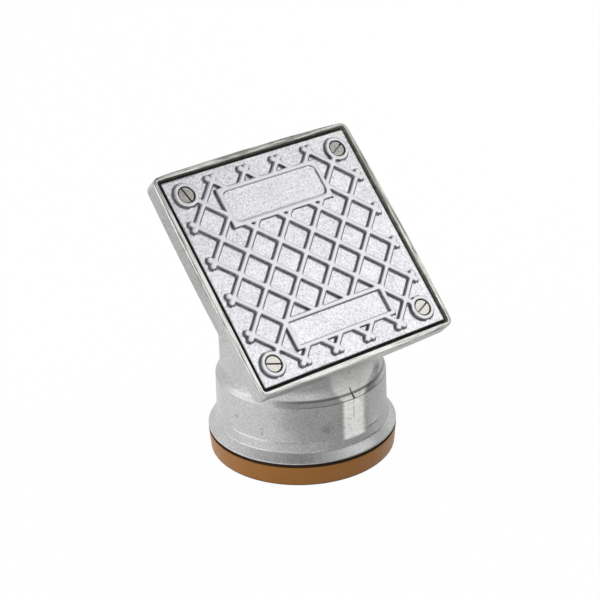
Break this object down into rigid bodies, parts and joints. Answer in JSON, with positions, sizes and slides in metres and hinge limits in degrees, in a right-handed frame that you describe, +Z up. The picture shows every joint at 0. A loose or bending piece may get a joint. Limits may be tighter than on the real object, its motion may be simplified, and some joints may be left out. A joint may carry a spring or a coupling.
{
  "type": "rodding eye",
  "caption": "Cast metal drain access point: upright ring-seal pipe socket and neck under a square tilted frame with a screwed, diamond-ribbed cover.",
  "frame": {"origin": "on the pipe socket's axis, at the underside of the seal cap where the pipe goes in", "axes": "+Z up along the socket axis; the cover faces -Y and up at 45 degrees; +X across the cover"},
  "size_m": [0.1726, 0.1401, 0.2141],
  "materials": {
    "cast_aluminium": "as-cast, blasted, rim linished",
    "cover_aluminium": "as-cast, shot-blasted",
    "black_rubber": "moulded",
    "terracotta_plastic": "moulded",
    "screw_steel": "plated, turned"
  },
  "bodies": {
    "body": {"cast_body": "cast_aluminium", "cover_gasket": "black_rubber", "ring_seal": "black_rubber", "seal_cap": "terracotta_plastic"},
    "cover": {"cover_plate": "cover_aluminium"},
    "screw_upper_left": {"cover_screw_upper_left": "screw_steel"},
    "screw_upper_right": {"cover_screw_upper_right": "screw_steel"},
    "screw_lower_left": {"cover_screw_lower_left": "screw_steel"},
    "screw_lower_right": {"cover_screw_lower_right": "screw_steel"}
  },
  "joints": [
    {"name": "cover_lift", "type": "slide", "parent": "body", "child": "cover", "axis": [0, -0.7071, 0.7071], "range_m": [0, 0.06]},
    {"name": "upper_left_screw_turn", "type": "hinge", "parent": "cover", "child": "screw_upper_left", "pos_m": [-0.06602, 0.0352, 0.20071], "axis": [0, -0.7071, 0.7071], "range_deg": [0, 4410]},
    {"name": "upper_right_screw_turn", "type": "hinge", "parent": "cover", "child": "screw_upper_right", "pos_m": [0.06602, 0.0352, 0.20071], "axis": [0, -0.7071, 0.7071], "range_deg": [0, 4410]},
    {"name": "lower_left_screw_turn", "type": "hinge", "parent": "cover", "child": "screw_lower_left", "pos_m": [-0.06602, -0.05818, 0.10734], "axis": [0, -0.7071, 0.7071], "range_deg": [0, 4410]},
    {"name": "lower_right_screw_turn", "type": "hinge", "parent": "cover", "child": "screw_lower_right", "pos_m": [0.06602, -0.05818, 0.10734], "axis": [0, -0.7071, 0.7071], "range_deg": [0, 4410]}
  ]
}
